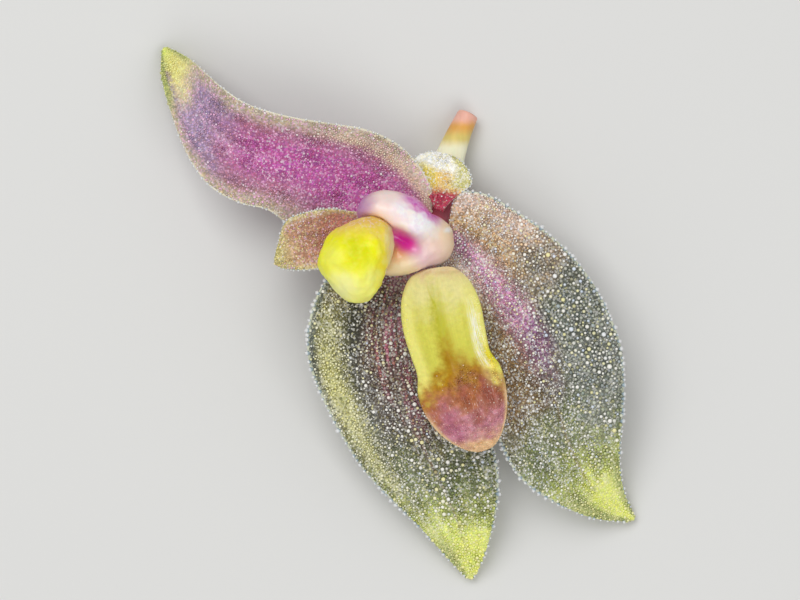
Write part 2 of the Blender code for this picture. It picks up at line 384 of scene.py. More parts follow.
def grow_blade(node, ribs, material, relief, segments, rings):
    """One closed blade: a sphere drawn out from base to tip, its equator laid along the two margins."""
    blade = Blade(node, ribs)
    name = node + "_blade"
    obj = add_sphere(name, segments, rings)
    turn, angle = sphere_turns(obj)
    along = 0.65 * turn / math.pi + 0.35 * (1 - np.cos(turn)) / 2
    across = np.cos(angle) * rounded_end(along, 0.02)
    rise = np.sin(angle)
    side = np.where(np.abs(rise) < 1e-6, 0.0, np.sign(rise))
    points = blade.point(along, across, side)
    points[:, 2] += relief(along, across, side, points)
    set_points(obj.data, points)
    set_vectors(obj.data, "place", np.column_stack([along, across, side]))
    finish_mesh(obj)
    skin_piece(name, material, node)
    return blade


def take_shape(obj, points):
    """The points and faces of a small modelled shape, which is then removed."""
    faces = [tuple(face.vertices) for face in obj.data.polygons]
    bpy.data.objects.remove(obj)
    return points, faces


def bead():
    """One clear bead of radius 1 as a closed peg with a round head and a neck."""
    waist = 0.55
    obj = add_sphere("bead", 8, 6)
    points = get_points(obj.data)
    below = np.clip(-points[:, 2], 0, 1)
    points[:, :2] *= (1 - (1 - waist) * below)[:, None]
    return take_shape(obj, points)


def dome():
    """One papilla of radius 1: the upper half of a sphere, closed below, with its foot a little sunk."""
    foot = -0.3
    obj = add_sphere("papilla", 6, 4)
    with editing(obj):
        bpy.ops.mesh.select_all(action="DESELECT")
    for vert in obj.data.vertices:
        vert.select = vert.co.z < -0.1
    with editing(obj):
        bpy.ops.mesh.delete(type="VERT")
        bpy.ops.mesh.select_all(action="SELECT")
        bpy.ops.mesh.fill_holes(sides=0)
    points = get_points(obj.data)
    points[points[:, 2] < 0.1, 2] = foot
    return take_shape(obj, points)


def strew(shape, centres, axes, radii, tall, places, cells):
    """Copies of one papilla as a group: each at its centre, turned to its axes and scaled to its radius."""
    points, faces = shape
    forward, across, normal = axes
    count, size = len(centres), len(points)
    scaled = points[None] * radii[:, None, None]
    scaled[:, :, 2] *= tall[:, None]
    placed = (
        centres[:, None]
        + scaled[:, :, 0:1] * forward[:, None]
        + scaled[:, :, 1:2] * across[:, None]
        + scaled[:, :, 2:3] * normal[:, None]
    )
    lowest = points[:, 2].min()
    rise = np.tile((points[:, 2] - lowest) / (1 - lowest), count)
    cell = np.column_stack([rise, np.repeat(cells[:, 0], size), np.repeat(cells[:, 1], size)])
    offsets = np.arange(count) * size
    made = []
    for sides in sorted({len(face) for face in faces}):
        pattern = np.array([face for face in faces if len(face) == sides])
        made += (offsets[:, None, None] + pattern[None]).reshape(-1, sides).tolist()
    return placed.reshape(-1, 3), made, np.repeat(places, size, axis=0), cell


def scatter(blade, side, spacing, order, rng, keep=None):
    """Places on a face, no two nearer than the spacing there, like cells that pushed each other apart.

    order says how surely a place falls in one of the rows along the veins, and keep where any may stand.
    """
    along = rng.random(TRIES) * 0.985 + 0.006
    across = rng.random(TRIES) * 2 * FACE_REACH - FACE_REACH
    in_row = (np.round(across * ROWS) + rng.normal(0, 0.1, TRIES)) / ROWS
    across = np.where(rng.random(TRIES) < order(along, across), in_row, across)
    if keep is not None:
        wanted = keep(along, across)
        along, across = along[wanted], across[wanted]
    points = blade.point(along, across, side)
    gap = spacing(along, across) * rng.triangular(0.8, 0.85, 1.7, len(along))
    squares = np.floor(points[:, :2] / gap.max()).astype(int)
    taken, kept = {}, []
    for i, (column, row) in enumerate(squares):
        near = [j for dx in (-1, 0, 1) for dy in (-1, 0, 1) for j in taken.get((column + dx, row + dy), ())]
        x, y = points[i, 0], points[i, 1]
        if all(math.hypot(x - points[j, 0], y - points[j, 1]) >= (gap[i] + gap[j]) / 2 for j in near):
            taken.setdefault((column, row), []).append(i)
            kept.append(i)
    return along[kept], across[kept], gap[kept]


def face_papillae(blade, side, spacing, order, rng, share, keep=None, tall=1.0, swell=0.0):
    """Papillae all over one face: radius is share of the room that each has. The large ones more often get a
    painted highlight.

    swell is how much larger the few with the brightest painted highlights stand.
    """
    along, across, gap = scatter(blade, side, spacing, order, rng, keep)
    centres, forward, sideways, normal = blade.frames(along, across, side)
    count = len(gap)
    large = gap / spacing(along, across)
    # The rank sets each papilla's chance of a painted highlight.
    rank = np.argsort(np.argsort(rng.random(count) + 0.5 * large))
    cells = np.column_stack([(rank + 0.5) / count, rng.random(count)])
    radii = gap * share * rng.uniform(0.9, 1.1, count) * (1 + swell * cells[:, 0] ** 16)
    height = rng.uniform(0.7, 1.15, count) * tall
    places = np.column_stack([along, across, np.full(count, side)])
    on = np.abs(across) < FACE_EDGE
    axes = forward[on], sideways[on], normal[on]
    return strew(dome(), centres[on], axes, radii[on], height[on], places[on], cells[on])


def margin_papillae(blade, edge, rng, start, end, spacing, radius):
    """A row of clear beads along one margin, standing out from it on short necks."""
    walk = np.linspace(start, end, 2000)
    line = blade.plan(walk, np.full(len(walk), float(edge)))
    run = np.concatenate([[0], np.cumsum(np.linalg.norm(np.diff(line, axis=0), axis=1))])
    marks = [spacing * rng.random()]
    while marks[-1] < run[-1]:
        marks.append(marks[-1] + spacing * rng.uniform(0.6, 1.5))
    along = np.interp(marks[:-1], run, walk)
    count = len(along)
    middle = np.zeros(count)
    across = np.full(count, edge * 0.985)
    at = blade.point(along, across, middle)
    forward = blade.heading(along, across, middle, 0.01)
    out = at - blade.point(along, across * 0.9, middle)
    out -= forward * (out * forward).sum(1, keepdims=True)
    out = unit(unit(out) + np.column_stack([middle, middle, rng.uniform(-0.35, 0.5, count)]))
    from_ends = np.clip(np.minimum(along, 1 - along) / 0.3, 0, 1)
    radii = radius * rng.uniform(0.7, 1.25, count) * (0.6 + 0.4 * from_ends)
    height = rng.uniform(1.0, 1.4, count)
    centres = at + out * (radii * height * 0.3)[:, None]
    centres[:, 2] = np.maximum(centres[:, 2], radii * 1.3)
    places = np.column_stack([along, np.full(count, float(edge)), middle])
    axes = forward, np.cross(out, forward), out
    return strew(bead(), centres, axes, radii, height, places, rng.random((count, 2)))


def join_strewn(blade, groups, material):
    """One finished piece of all the papillae of a blade."""
    points, places, cells = (np.concatenate([group[i] for group in groups]) for i in (0, 2, 3))
    faces, count = [], 0
    for group in groups:
        faces += [tuple(v + count for v in face) for face in group[1]]
        count += len(group[0])
    name = blade.node + "_papillae"
    mesh = bpy.data.meshes.new(name)
    mesh.from_pydata(points.tolist(), [], faces)
    set_vectors(mesh, "place", places)
    set_vectors(mesh, "cell", cells)
    mesh.shade_smooth()
    bpy.context.scene.collection.objects.link(bpy.data.objects.new(name, mesh))
    skin_piece(name, material)


def merged_copy(node, name):
    """A copy of a frame solid with its loose triangles joined, to be shaped further."""
    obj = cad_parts[node].copy()
    obj.data = obj.data.copy()
    obj.parent = None
    obj.name = obj.data.name = name
    for key in list(obj.keys()):
        del obj[key]
    bpy.context.scene.collection.objects.link(obj)
    with editing(obj):
        bpy.ops.mesh.select_all(action="SELECT")
        bpy.ops.mesh.remove_doubles(threshold=0.0005 * MM)
        bpy.ops.mesh.normals_make_consistent(inside=False)
    return obj


def apply_modifier(obj, kind, **choices):
    modifier = obj.modifiers.new(kind.lower(), kind)
    for key, value in choices.items():
        setattr(modifier, key, value)
    bpy.context.view_layer.objects.active = obj
    bpy.ops.object.modifier_apply(modifier=modifier.name)


def push_out(obj, points, centre, lumps):
    """Sets the points, each moved away from the centre by its own lump, and finishes the mesh."""
    set_points(obj.data, points + unit(points - centre) * lumps[:, None])
    finish_mesh(obj)


# ---------------------------------------------------------------- materials


class Value:
    """What a node gives: a number that arithmetic can go on with, or a vector or colour."""

    def __init__(self, nodes, socket):
        self.nodes = nodes
        self.socket = socket

    def maths(self, operation, other=0.0):
        return self.nodes.value("Math", {0: self, 1: other}, operation=operation)

    def __add__(self, other):
        return self.maths("ADD", other)

    def __sub__(self, other):
        return self.maths("SUBTRACT", other)

    def __rsub__(self, other):
        return self.nodes.value("Math", {0: other, 1: self}, operation="SUBTRACT")

    def __mul__(self, other):
        return self.maths("MULTIPLY", other)

    def __rtruediv__(self, other):
        return self.nodes.value("Math", {0: other, 1: self}, operation="DIVIDE")

    def __pow__(self, other):
        return self.maths("POWER", other)

    def __abs__(self):
        return self.maths("ABSOLUTE")

    def mask(self, start, end):
        """0 before start and 1 after end, smooth between. With start above end it falls instead."""
        inputs = {"Value": self, "From Min": start, "From Max": end}
        return self.nodes.value("MapRange", inputs, interpolation_type="SMOOTHSTEP")

    def band(self, centre, half):
        """1 at the centre, falling to 0 at half either side."""
        return abs(self - centre).mask(half, 0.0)

    def spread(self, low, high):
        """Stretches a value from 0 to 1 over low to high."""
        return self.nodes.value("MapRange", {"Value": self, "To Min": low, "To Max": high})


class Nodes:
    """A node tree, with a short way to add to it."""

    def __init__(self, tree):
        self.tree = tree

    def put(self, socket, value):
        if isinstance(value, Value):
            self.tree.links.new(value.socket, socket)
        elif socket.type == "RGBA":
            socket.default_value = (*value[:3], 1)
        else:
            socket.default_value = value

    def add(self, kind, inputs, **choices):
        made = self.tree.nodes.new("ShaderNode" + kind)
        for key, value in choices.items():
            setattr(made, key, value)
        for socket, value in inputs.items():
            self.put(made.inputs[socket], value)
        return made

    def value(self, kind, inputs, output=0, **choices):
        """One output of a new node."""
        return Value(self, self.add(kind, inputs, **choices).outputs[output])


class Paint(Nodes):
    """A material. Its tone is its colour so far, which further colours are laid over."""

    def __init__(self, name, roughness):
        self.material = bpy.data.materials.new(name)
        self.material.use_nodes = True
        super().__init__(self.material.node_tree)
        self.shader = self.tree.nodes["Principled BSDF"]
        self.set(Roughness=roughness)
        self.tone = None

    def set(self, **values):
        for name, value in values.items():
            self.put(self.shader.inputs[name.replace("_", " ")], value)

    def split(self, vector):
        """The three numbers of a vector or colour."""
        return [Value(self, socket) for socket in self.add("SeparateXYZ", {0: vector}).outputs]

    def attribute(self, name):
        return self.value("Attribute", {}, "Vector", attribute_name=name)

    def place(self):
        """Along, across and side of the blade's surface here."""
        return self.split(self.attribute("place"))

    def where(self):
        """The place in the flower, in metres."""
        return self.value("TexCoord", {}, "Object")

    def stretched(self, vector, scale):
        return self.value("VectorMath", {0: vector, 1: scale}, operation="MULTIPLY")

    def noise(self, vector, scale, detail=3.0):
        return self.value("TexNoise", {"Vector": vector, "Scale": scale, "Detail": detail, "Roughness": 0.55})

    def streaks(self, along, across, detail=2.0):
        """Noise with this many lumps from the blade's base to its tip and from its midrib to a margin."""
        return self.noise(self.stretched(self.attribute("place"), (along, across, 0.0)), 1.0, detail)

    def near(self, x, y, reach, core, wander):
        """1 within core millimetres of a spot seen from above, falling to 0 at reach, with a frayed edge."""
        flat = self.stretched(self.where(), (1.0, 1.0, 0.0))
        gap = self.value("VectorMath", {0: flat, 1: (x * MM, y * MM, 0.0)}, 1, operation="DISTANCE")
        return (gap + wander).mask(reach * MM, core * MM)

    def blend(self, first, second, factor):
        """A plain number between two others."""
        return self.value("Mix", {0: factor, 2: first, 3: second})

    def mix(self, first, second, factor, **choices):
        """A colour between two others."""
        return self.value("Mix", {0: factor, 6: first, 7: second}, 2, data_type="RGBA", **choices)

    def ramp(self, value, stops):
        """A colour for the value: stops are (position, colour). They are placed before they are coloured."""
        made = self.add("ValToRGB", {0: value})
        elements = made.color_ramp.elements
        made.color_ramp.interpolation = "EASE"
        while len(elements) < len(stops):
            elements.new(0.5)
        for element, (position, tone) in zip(elements, stops):
            element.position = position
        for element, (position, tone) in zip(elements, stops):
            element.color = (*tone[:3], 1)
        return Value(self, made.outputs[0])

    def lay(self, *layers):
        """Lays colours over the tone one after another, each as thick as its share from 0 to 1."""
        for over, share in layers:
            self.tone = self.mix(self.tone, over, share)

    def tint(self, over, share):
        """Multiplies the tone by a colour."""
        self.tone = self.mix(self.tone, over, share, blend_type="MULTIPLY")

    def shade(self, factor):
        """Makes the tone lighter or darker."""
        self.tone = self.value("VectorMath", {0: self.tone, 3: factor}, operation="SCALE")

    def bump(self, height, strength, distance):
        self.set(Normal=self.value("Bump", {"Height": height, "Strength": strength, "Distance": distance}))

    def flesh(self, weight, reach):
        """Soft living tissue: light goes in and comes out up to reach metres away."""
        self.set(Subsurface_Weight=weight, Subsurface_Scale=reach, Subsurface_Radius=(1.0, 0.5, 0.35))


def papillate(paint, contrast, sparkle, rim, glints, bold=0.0, creamy=0.0):
    """The finish of a papillate skin: cells lighter or darker than the paint's tone, some with a painted
    highlight.

    Contrast from 0 to 1 sets how unlike the cells are, and how deep the painted shade at the papillae's feet
    and on the blade between them. Sparkle is the mean of the painted highlights, most of it on a few, glints
    are the tones that they are painted in, and creamy is how far those turn to straw. Where bold is 1 every
    papilla is a pale bead ringed by painted shade at its foot, with a painted highlight on its top. Papillae
    carry their own chance values in the attribute cell, which reads 0 on the blade itself; there the cells of
    a fine mosaic take over. Clear margin beads are painted lighter at the top and darker below, as highlight
    and shade.
    """
    rise, glint, tint = paint.split(paint.attribute("cell"))
    _, across, side = paint.place()
    patch = paint.noise(paint.where(), 3200)
    mosaic = paint.add("TexVoronoi", {"Vector": paint.where(), "Scale": 38000})
    chance, other_chance, _ = paint.split(Value(paint, mosaic.outputs["Color"]))
    papilla = rise.mask(0.0, 0.01)
    tint = paint.blend(chance, tint, papilla)
    glint = paint.blend(other_chance, glint, papilla)
    warm = (tint * 7.0).maths("FRACT")

    paint.shade((tint**2.5).spread(-0.58, 1.42) * contrast + papilla * bold * 0.6 + 1.0)
    warmths = [(0.0, (1.1, 1.02, 0.78)), (0.5, (1.0, 1.0, 1.0)), (1.0, (0.9, 0.98, 1.14))]
    paint.tint(paint.ramp(warm, warmths), 0.8)

    # Painted highlights: the crowns of a few papillae, and a few cells of the blade's mosaic, take the glint
    # tones.
    likely = (glint + patch.spread(-0.06, 0.04)).maths("MINIMUM", 1.0)
    crown = rise.mask(paint.blend(0.3, 0.6, bold), paint.blend(0.75, 0.95, bold))
    held_back = sparkle.maths("MINIMUM", paint.blend(0.3, 0.6, creamy))
    wanted = paint.blend(held_back, sparkle, papilla)
    few = likely.mask(0.85 - wanted, 1.1 - wanted)
    shine = paint.blend(few, paint.blend(likely ** (1.0 / sparkle - 1.0), few, 0.5), papilla)
    shine = shine.maths("MAXIMUM", papilla * bold * 0.3) * paint.blend(0.62, crown, papilla)
    paint.lay((paint.mix(paint.ramp(warm, glints), STRAW, creamy), shine))

    # Painted shade: darker at the foot of each papilla and on the blade between the papillae.
    foot_shade = rise.mask(0.66, 0.2) * paint.blend(contrast * 0.5, 0.65, bold)
    gap = paint.blend(contrast * 0.4, 0.4, bold)
    paint.shade(1.0 - (papilla * foot_shade + (1.0 - papilla) * gap))

    loose = abs(side).mask(0.5, 0.1) * papilla
    # Clear margin beads: painted lighter towards the top and darker at the foot, as highlight and shade.
    bead_tone = paint.mix(BEAD_SHADE, BEAD, rise.mask(0.4, 0.75))
    paint.lay((rim, abs(across).mask(0.955, 0.985)), (bead_tone, loose))
    tone = paint.value("VectorMath", {0: paint.tone, 1: (0.95, 0.95, 0.95)}, operation="MINIMUM")
    paint.set(Base_Color=tone, Transmission_Weight=loose * 0.3)
    paint.bump(Value(paint, mosaic.outputs["Distance"]), 0.3, -0.006 * MM)


# ---------------------------------------------------------------- settings


def colour(name, text, description):
    label = name.replace("_", " ").capitalize()
    return bpy.props.FloatVectorProperty(
        name=label, description=description, subtype="COLOR", size=3, min=0, max=1, default=hue(text)
    )


def length(name, description, millimetres):
    return bpy.props.FloatProperty(
        name=name, description=description, unit="LENGTH", subtype="DISTANCE", min=0, precision=6,
        default=millimetres * MM,
    )


class OrchidSizes(bpy.types.PropertyGroup):
    dorsal_spacing: length("Dorsal papillae", "Room for a papilla on the dorsal sepal", 0.031)
    lateral_spacing: length("Lateral papillae", "Room for a papilla on the lateral sepals", 0.031)
    outer_spacing: length("Outer papillae", "Room for a papilla near the right sepal's outer margin", 0.054)
    petal_spacing: length("Petal papillae", "Room for a papilla on the petals", 0.028)
    lip_spacing: length("Lip papillae", "Room for a papilla on the lip's end", 0.026)
    margin_spacing: length("Margin beads", "Mean distance between the clear beads along a margin", 0.096)
    margin_radius: length("Margin bead radius", "Radius of the clear beads along a margin", 0.034)


# Every colour of the flower and the floor: its six hex digits, and where it lies.
TONES = {
    "dorsal_rose": ("ac7488", "Lower half and base of the dorsal sepal"),
    "dorsal_magenta": ("b84e9c", "Flush in the middle of the dorsal sepal"),
    "dorsal_lavender": ("a88cac", "Grey-violet zone before the dorsal sepal's tip"),
    "dorsal_plum": ("8c5878", "Dark lower base of the dorsal sepal"),
    "dorsal_tan": ("c2b49a", "Upper margin of the dorsal sepal"),
    "sepal_blush": ("f8b4d4", "Base of the left lateral sepal"),
    "sepal_brown": ("6c4a3c", "Brown rows beside the lip"),
    "sepal_rose": ("b05c74", "Rosy rows of the left lateral sepal beside the lip"),
    "sepal_umber": ("8a6b3e", "Brown tissue of the right lateral sepal beside the lip"),
    "sepal_olive": ("34341f", "Dark middle of the left lateral sepal"),
    "sepal_grey": ("3e3c28", "Clear grey tissue of the lateral sepals"),
    "sepal_moss": ("707a40", "Lower part of the lateral sepals"),
    "sepal_cream": ("a8a65c", "Cream band inside the left sepal's margin"),
    "sepal_tan": ("c09c72", "Base of the right lateral sepal"),
    "sepal_shell": ("fadcd2", "Base of the right lateral sepal beside the column"),
    "sepal_glass": ("6c7264", "Clear outer part of the right lateral sepal"),
    "vein_magenta": ("dc8ccc", "Magenta veins of the lateral sepals"),
    "tip_green": ("f0fa80", "Yellow-green tips of the sepals"),
    "tip_shade": ("a4ae68", "Clear margins before the lateral sepals' tips"),
    "tip_cream": ("fcf29c", "Cream patch below the dorsal sepal's tip"),
    "petal_brown": ("c39176", "Middle of the left petal"),
    "petal_rose": ("e0948c", "Base of the left petal"),
    "petal_gold": ("e6d050", "Left part of the right petal"),
    "petal_olive": ("c8c474", "Right part of the right petal"),
    "petal_cream": ("d2c682", "Tip of the left petal and rim of the right"),
    # The right petal's pale body, with its painted highlight.
    "petal_white": ("fdfcf0", "Pale body of the right petal"),
    "petal_orange": ("eec878", "Inside of the right petal"),
    "petal_red": ("b42c4c", "Base of the right petal"),
    "lip_hinge": ("e2c898", "Hinge of the lip"),
    "lip_yellow": ("e4dc90", "Upper half of the lip"),
    "lip_green": ("d8d456", "Middle of the lip"),
    "lip_groove": ("c0bc2c", "Groove of the lip"),
    "lip_lemon": ("ece67c", "Raised sides of the lip"),
    "lip_gold": ("e6da30", "Outer lobe of the lip's right shoulder"),
    # Painted highlight along the lip's raised right crest.
    "lip_pale": ("fcfcee", "Bright crest on the lip's right side"),
    "lip_amber": ("b08408", "Band across the middle of the lip"),
    "lip_orange": ("b07430", "Below the lip's amber band"),
    "lip_red": ("985044", "Dark patches above the lip's end"),
    "lip_plum": ("b46c88", "Lower left part of the lip"),
    "lip_mauve": ("c88e9a", "End of the lip"),
    "lip_fleck": ("f2d8d4", "Fine flecks on the lip's end"),
    "lip_peach": ("e6c492", "Edge of the lip's end"),
    # The column's white ridge, with painted highlights laid in the same tone.
    "column_white": ("fefcfe", "Ridge of the column"),
    "column_rose": ("f4dcd6", "Hood of the column"),
    "column_peach": ("f2d6b4", "Foot of the column"),
    "column_cream": ("ecd4a8", "Lobe of the column below the stigma"),
    "column_blush": ("e6c0cc", "Lower side of the column's foot"),
    "column_pink": ("b880b0", "Hood's far end on the column"),
    "column_magenta": ("d048b4", "Upper right edge of the column"),
    "column_lilac": ("ead4ea", "Mottling of the column's ridge"),
    "column_amber": ("e0a068", "Below the stigma"),
    "stigma": ("dc2ca4", "Hollow of the stigma"),
    "anther": ("f4f208", "Middle of the anther cap"),
    "anther_green": ("dadc00", "Centre of the anther cap"),
    # Painted highlight on the anther cap.
    "anther_light": ("fffca4", "Brightest part of the anther cap, below left"),
    "anther_gold": ("fae834", "Right part of the anther cap"),
    "anther_peach": ("f0c860", "Upper edge of the anther cap"),
    "anther_pale": ("fffc7c", "Edges and lower end of the anther cap"),
    "stalk_green": ("fcf8d6", "Ovary and pedicel"),
    "stalk_gold": ("e2cc74", "Middle of the pedicel"),
    "stalk_orange": ("e4a850", "Pedicel before its cut end"),
    "stalk_pink": ("eeb5a2", "Cut end of the pedicel"),
    "floor": ("dadad8", "Plain floor"),
}


class OrchidColours(bpy.types.PropertyGroup):
    __annotations__ = {name: colour(name, *told) for name, told in TONES.items()}


def settings():
    return bpy.context.scene.orchid_sizes, bpy.context.scene.orchid_colours


# ---------------------------------------------------------------- skins


# Tones of the painted highlights on the papillae: WHITE, CREAM, ICE, STRAW, ROSE and PINK. BEAD and
# BEAD_SHADE paint a clear margin bead lighter at its top and darker at its foot, as painted highlight and
# painted shade.
WHITE, CREAM, ICE, STRAW = hue("f8f6f0"), hue("f2ecb0"), hue("d8e2f4"), hue("eeea90")
CLOUD_LIGHT, CLOUD_DARK = (1.2, 1.14, 1.16), (0.86, 0.75, 0.72)
BEAD, BEAD_SHADE, ROSE, PINK = hue("fafcfc"), hue("a8bcc8"), hue("f4dcea"), hue("f0b8dc")


def blade_paint(name, roughness, lumps, stray):
    """The paint of a blade, its places along and across, slow noise, and a ragged copy of the place along."""
    paint = Paint(name, roughness)
    along, across, _ = paint.place()
    patch = paint.noise(paint.where(), lumps)
    return paint, along, across, patch, along + patch.spread(-stray, stray)


def sepal_rim(paint, tones, along, pale):
    """The tone of a sepal's very margin: pale, and green at the tip."""
    return paint.mix(hue(pale), tones.tip_green, along.mask(0.8, 0.92))


def dorsal_skin(tones):
    paint, along, across, patch, ragged = blade_paint("dorsal_sepal_skin", 0.3, 2600, 0.08)
    upper = across + patch.spread(-0.15, 0.15)
    flush = ragged.mask(0.0, 0.15) * ragged.mask(0.7, 0.48) * abs(across - 0.05).mask(0.78, 0.15)
    row = across.band(0.74, 0.2) * along.mask(0.5, 0.34)
    tip = ragged.mask(0.74, 0.87) * abs(across - 0.3).mask(1.0, 0.3)
    rose = tones.dorsal_rose
    paint.tone = paint.ramp(ragged, [(0.0, rose), (0.52, rose), (0.68, tones.dorsal_lavender)])
    paint.lay(
        (tones.dorsal_magenta, flush * paint.streaks(3.0, 14.0, 3.0).spread(0.75, 1.2)),
        (tones.dorsal_plum, across.band(-0.6, 0.4) * ragged.band(0.2, 0.16)),
        (tones.dorsal_tan, upper.mask(0.55, 0.9)),
        (tones.dorsal_tan, upper.mask(-0.55, -0.95)),
        (tones.dorsal_magenta, along.mask(0.12, 0.03) * across.band(0.1, 0.8)),
        (tones.tip_cream, tip),
        (tones.tip_green, ragged.mask(0.9, 0.98)),
        (tones.tip_shade, abs(across - 0.1).mask(0.5, 0.85) * along.mask(0.76, 0.88)),
    )
    # Painted light: lighter towards the base, by up to a third, against the shade that the sepal's slope
    # takes there.
    paint.shade(along.mask(0.45, 0.15).spread(1.04, 1.32))
    contrast = along.mask(0.7, 0.9).spread(0.36, 0.3)
    # Painted highlights: how many the papillae carry here; glints are their tones.
    sparkle = row * 0.62 + along.band(0.6, 0.16).spread(0.22, 0.12)
    sparkle = sparkle + abs(across).mask(0.5, 0.8) * 0.1 + tip * 0.2
    glints = [(0.0, PINK), (0.6, PINK), (0.85, ROSE), (1.0, WHITE)]
    straw = (row * 0.5).maths("MAXIMUM", along.mask(0.76, 0.88))
    papillate(paint, contrast, sparkle, sepal_rim(paint, tones, along, "dcd6bc"), glints, creamy=straw)
    return paint.material


def left_sepal_skin(tones):
    paint, along, across, _, ragged = blade_paint("left_sepal_skin", 0.25, 2600, 0.08)
    wander = across + paint.noise(paint.where(), 2000).spread(-0.03, 0.03)
    rows = across.mask(0.5, 0.2) * ragged.mask(0.66, 0.3)
    in_row = (wander * float(ROWS) + 0.5).maths("FRACT").band(0.5, 0.4).spread(-1.0, 1.0) * rows
    streak = across.band(-0.1, 0.5) * along.band(0.32, 0.4)
    midrib = across.band(-0.06, 0.025) * (along.mask(0.5, 0.6) * along.mask(0.95, 0.85))
    dark = across.band(0.45, 0.36) * ragged.band(0.3, 0.24)
    cream = across.band(0.76, 0.34) * ragged.band(0.5, 0.4)
    clear = across.mask(0.87, 0.94) * along.mask(0.62, 0.4)
    paint.tone = paint.ramp(ragged, [
        (0.14, tones.sepal_brown), (0.32, tones.sepal_grey), (0.52, tones.sepal_grey),
        (0.72, tones.sepal_moss), (0.86, tones.tip_green),
    ])
    paint.lay(
        (tones.tip_shade, across.mask(0.2, 0.7) * along.mask(0.78, 0.9)),
        (tones.sepal_brown, rows),
        (tones.sepal_rose, streak * paint.streaks(5.0, 12.0).mask(0.46, 0.6)),
    )
    paint.shade(in_row * 0.34 + 1.0)
    paint.lay(
        (tones.sepal_brown, midrib * 0.7),
        (tones.sepal_olive, dark),
        (tones.sepal_cream, cream),
        (tones.sepal_glass, clear),
        (tones.sepal_blush, along.mask(0.2, 0.1)),
    )
    contrast = along.mask(0.66, 0.9).spread(0.6, 0.25)
    # Painted highlights: how many the papillae carry here; glints are their tones.
    sparkle = dark.spread(0.38, 0.24) + cream * 0.56 + in_row * 0.08
    sparkle = sparkle + along.band(0.2, 0.14) * 0.1 + along.mask(0.78, 0.9) * 0.14
    sparkle = sparkle * clear.spread(1.0, 0.35)
    bold = across.band(0.1, 0.7) * ragged.band(0.46, 0.34) * 0.6
    straw = (cream * 0.7).maths("MAXIMUM", along.mask(0.74, 0.88) * 0.8)
    glints = [(0.0, CREAM), (0.45, WHITE), (0.9, WHITE), (1.0, ICE)]
    papillate(paint, contrast, sparkle, sepal_rim(paint, tones, along, "c8ccb4"), glints, bold, straw)
    return paint.material


def right_sepal_skin(tones):
    paint, along, across, _, ragged = blade_paint("right_sepal_skin", 0.25, 2600, 0.1)
    outside = across.mask(-0.04, -0.36) * ragged.mask(0.86, 0.58)
    outer = outside * ragged.mask(0.16, 0.4)
    streak = ragged.mask(0.64, 0.3) * along.mask(0.02, 0.1) * across.band(0.06, 0.38)
    vein = across.band(0.1, 0.05) * (along.mask(0.5, 0.6) * along.mask(0.9, 0.78))
    paint.tone = paint.ramp(ragged, [
        (0.24, tones.sepal_tan), (0.46, tones.sepal_grey), (0.7, tones.sepal_moss), (0.88, tones.tip_green),
    ])
    paint.lay(
        (tones.tip_shade, abs(across + 0.1).mask(0.3, 0.8) * along.mask(0.72, 0.86)),
        (tones.sepal_umber, across.mask(0.05, 0.3) * (along.mask(0.2, 0.3) * ragged.mask(0.68, 0.5))),
        (tones.sepal_glass, outside * ragged.mask(0.24, 0.5)),
        (tones.sepal_shell, across.mask(-0.4, -0.8) * ragged.mask(0.4, 0.2) * 0.5),
        (tones.sepal_shell, across.mask(0.1, 0.5) * along.mask(0.3, 0.12)),
        (tones.vein_magenta, streak * paint.streaks(2.5, 16.0).spread(0.3, 1.1)),
        (tones.sepal_umber, vein * 0.5),
    )
    contrast = along.mask(0.66, 0.9).spread(0.6, 0.25)
    # Painted highlights: how many the papillae carry here, most in a bright cluster on the outer side; glints
    # are their tones.
    cluster = across.band(-0.6, 0.36) * ragged.band(0.56, 0.2)
    sparkle = outer.spread(0.38, 0.42) + cluster * 0.24
    sparkle = sparkle + along.mask(0.3, 0.1) * 0.1 + along.mask(0.78, 0.9) * 0.14
    glints = [(0.0, CREAM), (0.3, WHITE), (0.8, WHITE), (1.0, ICE)]
    straw = along.mask(0.74, 0.88) * 0.8
    papillate(paint, contrast, sparkle, sepal_rim(paint, tones, along, "c8ccb4"), glints, outer * 0.9, straw)
    return paint.material


def left_petal_skin(tones):
    paint, _, across, _, ragged = blade_paint("left_petal_skin", 0.3, 4000, 0.1)
    paint.tone = tones.petal_rose
    paint.lay(
        (tones.petal_brown, ragged.mask(0.3, 0.65)),
        (tones.petal_cream, ragged.mask(0.62, 0.88)),
        (tones.petal_cream, abs(across).mask(0.7, 1.05)),
    )
    # Painted highlights: how many the papillae carry here, in the tones given to papillate.
    sparkle = abs(across).mask(0.5, 0.9).spread(0.2, 0.34)
    papillate(paint, 0.36, sparkle, hue("e4dcb8"), [(0.0, CREAM), (0.4, CREAM), (0.7, PINK), (1.0, WHITE)])
    return paint.material


def right_petal_skin(tones):
    paint, _, across, _, ragged = blade_paint("right_petal_skin", 0.3, 4000, 0.08)
    paint.tone = tones.petal_red
    paint.lay(
        (tones.petal_orange, ragged.mask(0.24, 0.38)),
        (tones.petal_gold, across.mask(0.1, -0.5) * ragged.mask(0.3, 0.45)),
        (tones.petal_olive, across.mask(0.1, 0.6) * ragged.mask(0.3, 0.45)),
        # Pale patch: partly the petal's own pale body, partly a painted highlight.
        (tones.petal_white, ragged.mask(0.52, 0.66) * across.mask(0.75, 0.3)),
    )
    # Painted highlights: how many the papillae carry here, in the tones given to papillate.
    sparkle = ragged.mask(0.2, 0.5).spread(0.08, 0.4)
    papillate(paint, 0.3, sparkle, hue("f2f0de"), [(0.0, CREAM), (0.5, WHITE), (1.0, WHITE)])
    return paint.material


